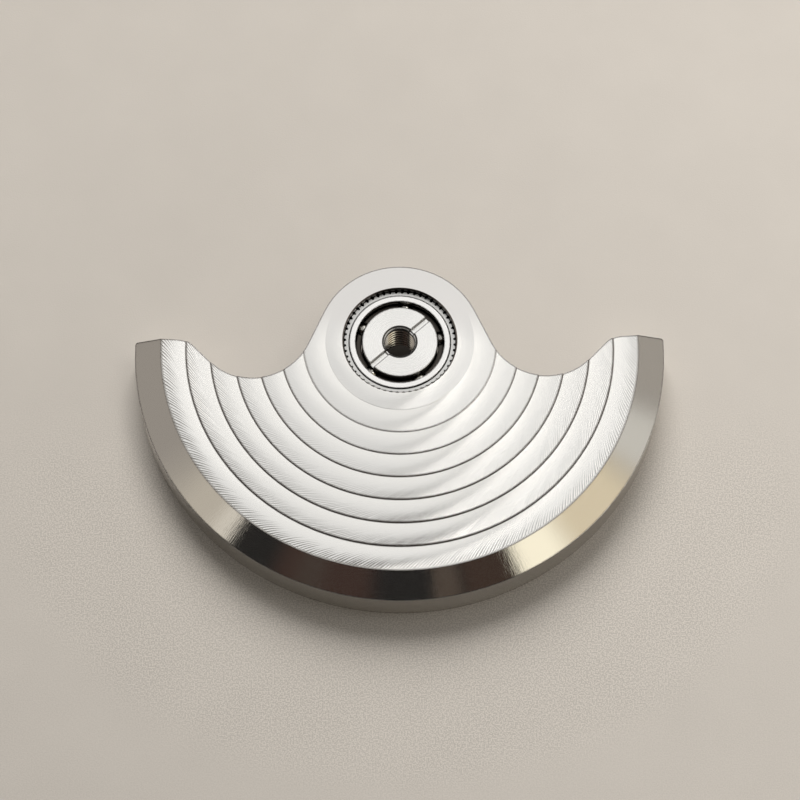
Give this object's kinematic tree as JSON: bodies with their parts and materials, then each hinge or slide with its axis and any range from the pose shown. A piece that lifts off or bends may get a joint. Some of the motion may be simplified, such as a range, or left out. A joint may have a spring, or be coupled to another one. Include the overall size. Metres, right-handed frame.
{
  "type": "automatic watch rotor",
  "caption": "Half-round oscillating weight of a self-winding watch, banded face and polished bevel, on a small slotted ball bearing with a toothed ring.",
  "frame": {"origin": "where the bearing's axis meets the flat seat of the fixed core, which is also the lower end of the threaded hole", "axes": "+Z along the bearing's axis, out of the back of the watch; the weight hangs towards -Y at rest; +X to the right seen from above"},
  "size_m": [0.025, 0.0164, 0.003],
  "materials": {
    "ground_plate": "silver plated, ground in fine curved strokes on each band",
    "polished_rim": "heavy metal, ground flat band and mirror polished bevel",
    "gear_steel": "cut teeth, satin",
    "polished_steel": "polished",
    "satin_steel": "fine satin",
    "bearing_steel": "turned",
    "dark_cage": "blackened, satin",
    "ball_steel": "polished",
    "pin_steel": "turned"
  },
  "bodies": {
    "core": {"bearing_core": "bearing_steel", "slotted_cone": "satin_steel"},
    "weight": {"carrier_plate": "ground_plate", "heavy_rim": "polished_rim", "toothed_ring": "gear_steel", "closing_ring": "polished_steel", "rim_pin_1": "pin_steel", "rim_pin_2": "pin_steel", "rim_pin_3": "pin_steel", "rim_pin_4": "pin_steel", "rim_pin_5": "pin_steel", "rim_pin_6": "pin_steel"},
    "cage": {"ball_cage": "dark_cage"},
    "ball_1": {"ball_1": "ball_steel"},
    "ball_2": {"ball_2": "ball_steel"},
    "ball_3": {"ball_3": "ball_steel"},
    "ball_4": {"ball_4": "ball_steel"},
    "ball_5": {"ball_5": "ball_steel"}
  },
  "joints": [
    {"name": "rotor_spin", "type": "hinge", "parent": "core", "child": "weight", "pos_m": [0, 0, 0.0014], "axis": [0, 0, 1], "continuous": true},
    {"name": "cage_spin", "type": "hinge", "parent": "core", "child": "cage", "pos_m": [0, 0, 0.0014], "axis": [0, 0, 1], "continuous": true},
    {"name": "ball_1_roll", "type": "hinge", "parent": "cage", "child": "ball_1", "pos_m": [0.00191, 0.00034, 0.0014], "axis": [0, 0, 1], "continuous": true},
    {"name": "ball_2_roll", "type": "hinge", "parent": "cage", "child": "ball_2", "pos_m": [0.00027, 0.00192, 0.0014], "axis": [0, 0, 1], "continuous": true},
    {"name": "ball_3_roll", "type": "hinge", "parent": "cage", "child": "ball_3", "pos_m": [-0.00174, 0.00085, 0.0014], "axis": [0, 0, 1], "continuous": true},
    {"name": "ball_4_roll", "type": "hinge", "parent": "cage", "child": "ball_4", "pos_m": [-0.00135, -0.0014, 0.0014], "axis": [0, 0, 1], "continuous": true},
    {"name": "ball_5_roll", "type": "hinge", "parent": "cage", "child": "ball_5", "pos_m": [0.00091, -0.00171, 0.0014], "axis": [0, 0, 1], "continuous": true}
  ],
  "couplings": [
    {"joint": "cage_spin", "follows": "rotor_spin", "ratio": 0.56378},
    {"joint": "ball_1_roll", "follows": "rotor_spin", "ratio": 3.8556},
    {"joint": "ball_2_roll", "follows": "rotor_spin", "ratio": 3.8556},
    {"joint": "ball_3_roll", "follows": "rotor_spin", "ratio": 3.8556},
    {"joint": "ball_4_roll", "follows": "rotor_spin", "ratio": 3.8556},
    {"joint": "ball_5_roll", "follows": "rotor_spin", "ratio": 3.8556}
  ]
}
